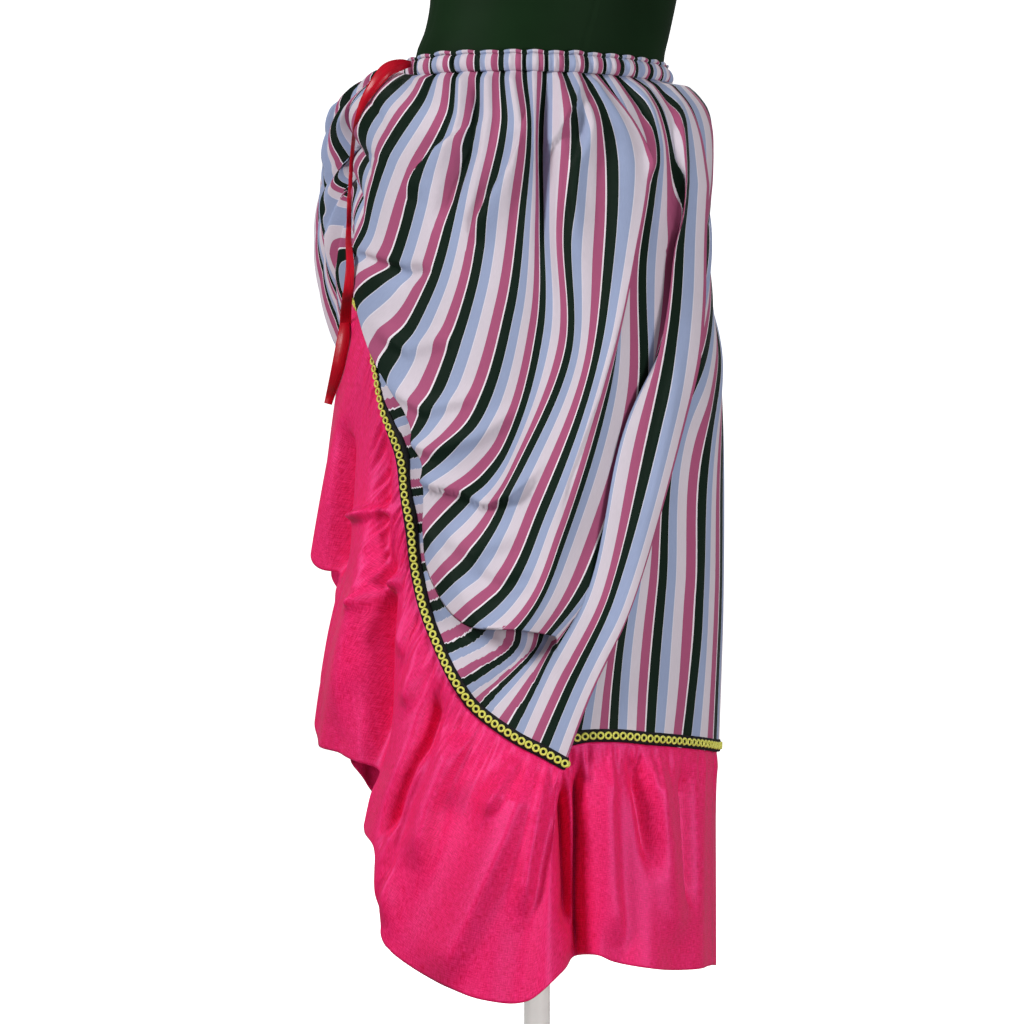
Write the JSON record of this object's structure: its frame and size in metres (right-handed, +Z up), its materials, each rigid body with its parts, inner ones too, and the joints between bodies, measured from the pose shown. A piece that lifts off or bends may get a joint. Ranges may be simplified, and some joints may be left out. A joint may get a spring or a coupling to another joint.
{
  "type": "medieval skirt on a dress form",
  "caption": "Hitched-up striped skirt with a pink ruffle, ring braid and red ribbon, gathered on the waist of a limbless dress form on a pole and round base.",
  "frame": {"origin": "middle of the round base's underside, on the floor", "axes": "+Z up along the pole, -Y towards the skirt's front, +X towards the side whose hem hangs low"},
  "size_m": [0.4132, 0.3735, 1.4713],
  "materials": {
    "stand": "semi_gloss",
    "form_cover": "matte",
    "neck_cap": "satin",
    "striped_cotton": "satin",
    "ring_braid": "satin",
    "red_ribbon": "satin",
    "pink_ruffle": "satin"
  },
  "bodies": {
    "root": {"stand_base": "stand", "stand_pole": "stand", "form_torso": "form_cover", "form_neck_cap": "neck_cap", "waist_casing": "striped_cotton", "body_front": "striped_cotton", "body_back": "striped_cotton", "trim_front": "ring_braid", "trim_back": "ring_braid", "ribbon_strap": "red_ribbon", "ribbon_tail": "red_ribbon", "ruffle_front": "pink_ruffle", "ruffle_back": "pink_ruffle"}
  },
  "joints": []
}
